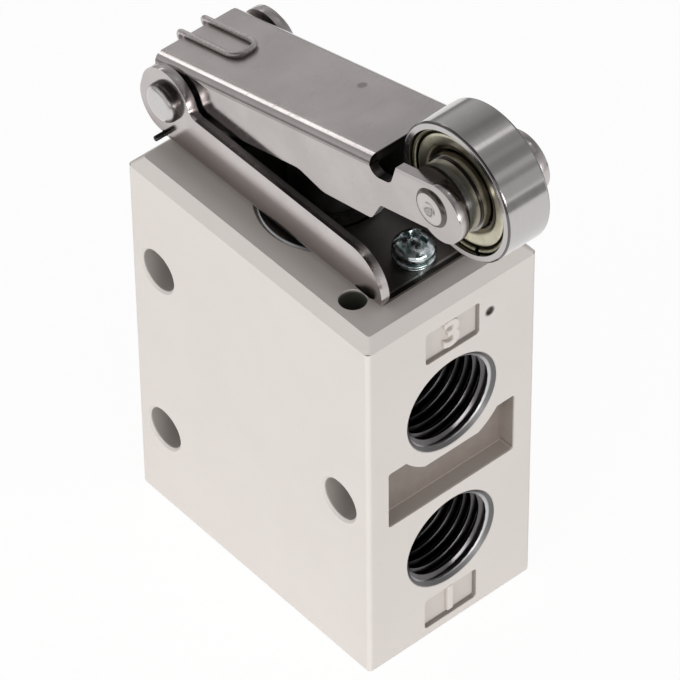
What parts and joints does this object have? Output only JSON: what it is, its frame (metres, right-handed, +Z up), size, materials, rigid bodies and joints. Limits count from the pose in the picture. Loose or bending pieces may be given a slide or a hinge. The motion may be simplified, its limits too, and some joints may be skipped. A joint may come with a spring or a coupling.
{
  "type": "roller lever air valve",
  "caption": "Rectangular air valve block with a sprung roller lever in a folded bracket; the lever presses a push rod that shifts a spool between threaded ports.",
  "frame": {"origin": "centre of the block's bottom face", "axes": "+Z up, +X out of the face with two ports, towards the roller, +Y across the block"},
  "size_m": [0.0565, 0.025, 0.0819],
  "materials": {
    "body": "fine satin paint on a die casting",
    "sheet_steel": "satin, tumbled edges",
    "pin_steel": "turned and ground",
    "spring_steel": "drawn wire and strip",
    "bearing_steel": "ground and polished",
    "shield_plate": "pale yellow passivated plate",
    "zinc_plate": "bright zinc plate",
    "turned_aluminium": "fine turned",
    "rod_steel": "blackened, ground",
    "seal_rubber": "smooth nitrile"
  },
  "bodies": {
    "valve_block": {"body": "body", "bracket": "sheet_steel", "pivot_pin": "pin_steel", "return_spring": "spring_steel", "pin_clip": "spring_steel", "bracket_screw_front": "zinc_plate", "bracket_screw_rear": "zinc_plate", "bracket_washer_front": "zinc_plate", "bracket_washer_rear": "zinc_plate", "guide_bush": "turned_aluminium", "bottom_spacer": "turned_aluminium", "supply_cage": "turned_aluminium", "outlet_cage": "turned_aluminium", "exhaust_cage": "turned_aluminium", "bush_seal": "seal_rubber", "plunger_seal": "seal_rubber", "spool_seal_1": "seal_rubber", "spool_seal_2": "seal_rubber", "spool_seal_3": "seal_rubber", "spool_seal_4": "seal_rubber"},
    "lever": {"lever": "sheet_steel", "roller_axle": "pin_steel", "roller_spacer_near": "pin_steel", "roller_spacer_far": "pin_steel", "bearing_inner_ring": "bearing_steel", "torsion_spring": "spring_steel"},
    "roller": {"bearing_outer_ring": "bearing_steel", "bearing_shield_near": "shield_plate", "bearing_shield_far": "shield_plate", "bearing_snap_ring_near": "spring_steel", "bearing_snap_ring_far": "spring_steel"},
    "ball_set": {"bearing_balls": "bearing_steel", "bearing_cage": "bearing_steel"},
    "push_rod": {"plunger": "rod_steel", "spool": "turned_aluminium"}
  },
  "joints": [
    {"name": "lever_pivot", "type": "hinge", "parent": "valve_block", "child": "lever", "pos_m": [-0.0188, 0, 0.0602], "axis": [0, 1, 0], "range_deg": [0, 12], "stiffness_Nm_per_rad": 0.8, "springref_deg": -20.05, "deforming": ["torsion_spring"]},
    {"name": "plunger_slide", "type": "slide", "parent": "valve_block", "child": "push_rod", "axis": [0, 0, -1], "range_m": [0, 0.00385], "deforming": ["return_spring"]},
    {"name": "roller_spin", "type": "hinge", "parent": "lever", "child": "roller", "pos_m": [0.02414, 0, 0.0734], "axis": [0, 1, 0], "continuous": true},
    {"name": "ball_set_spin", "type": "hinge", "parent": "lever", "child": "ball_set", "pos_m": [0.02414, 0, 0.0734], "axis": [0, 1, 0], "continuous": true}
  ],
  "couplings": [
    {"joint": "plunger_slide", "follows": "lever_pivot", "m_per_rad": 0.018354},
    {"joint": "ball_set_spin", "follows": "roller_spin", "ratio": 0.63043}
  ]
}
